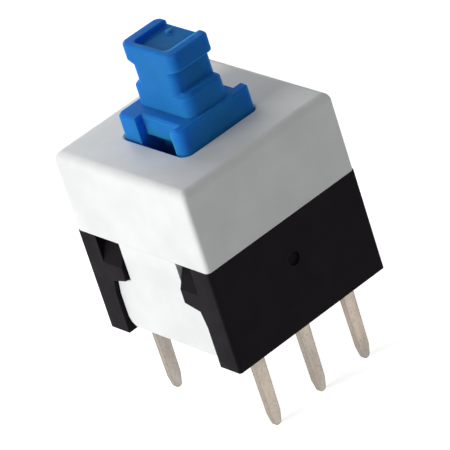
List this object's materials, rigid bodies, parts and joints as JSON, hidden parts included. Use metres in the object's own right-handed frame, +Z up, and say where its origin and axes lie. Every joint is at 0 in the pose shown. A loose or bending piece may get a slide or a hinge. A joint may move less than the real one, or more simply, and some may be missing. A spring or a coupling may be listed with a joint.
{
  "type": "pushbutton switch",
  "caption": "Square latching pushbutton switch for circuit boards, with a clip-on cover, a stepped button stem for a push-on cap and flat pins underneath.",
  "frame": {"origin": "centre of the base's underside, the face that rests on the circuit board", "axes": "+Z up along the button's travel, Y along the two rows of pins with the front at -Y, X across the rows"},
  "size_m": [0.0086, 0.0086, 0.0168],
  "materials": {
    "base_plastic": "black moulded thermoplastic",
    "cover_plastic": "white moulded thermoplastic",
    "button_plastic": "blue moulded acetal, satin",
    "terminal_metal": "silver plated",
    "contact_metal": "silver plated spring bronze",
    "spring_steel": "drawn spring wire"
  },
  "bodies": {
    "housing": {"base": "base_plastic", "cover": "cover_plastic", "terminal_left_front": "terminal_metal", "terminal_left_middle": "terminal_metal", "terminal_left_back": "terminal_metal", "terminal_right_front": "terminal_metal", "terminal_right_middle": "terminal_metal", "terminal_right_back": "terminal_metal", "return_spring": "spring_steel"},
    "button": {"plunger": "button_plastic", "moving_contact_left": "contact_metal", "moving_contact_right": "contact_metal"},
    "lock": {"lock_pin": "spring_steel"}
  },
  "joints": [
    {"name": "plunger_slide", "type": "slide", "parent": "housing", "child": "button", "axis": [0, 0, 1], "range_m": [-0.0023, 0], "stiffness_N_per_m": 490, "springref_m": 0.003, "deforming": ["return_spring"]},
    {"name": "lock_pin_swing", "type": "hinge", "parent": "housing", "child": "lock", "pos_m": [0, 0.00288, 0.00055], "axis": [0, 1, 0], "range_deg": [0, 23]}
  ],
  "couplings": [
    {"joint": "lock_pin_swing", "follows": "plunger_slide", "rad_per_m": -170.74}
  ]
}
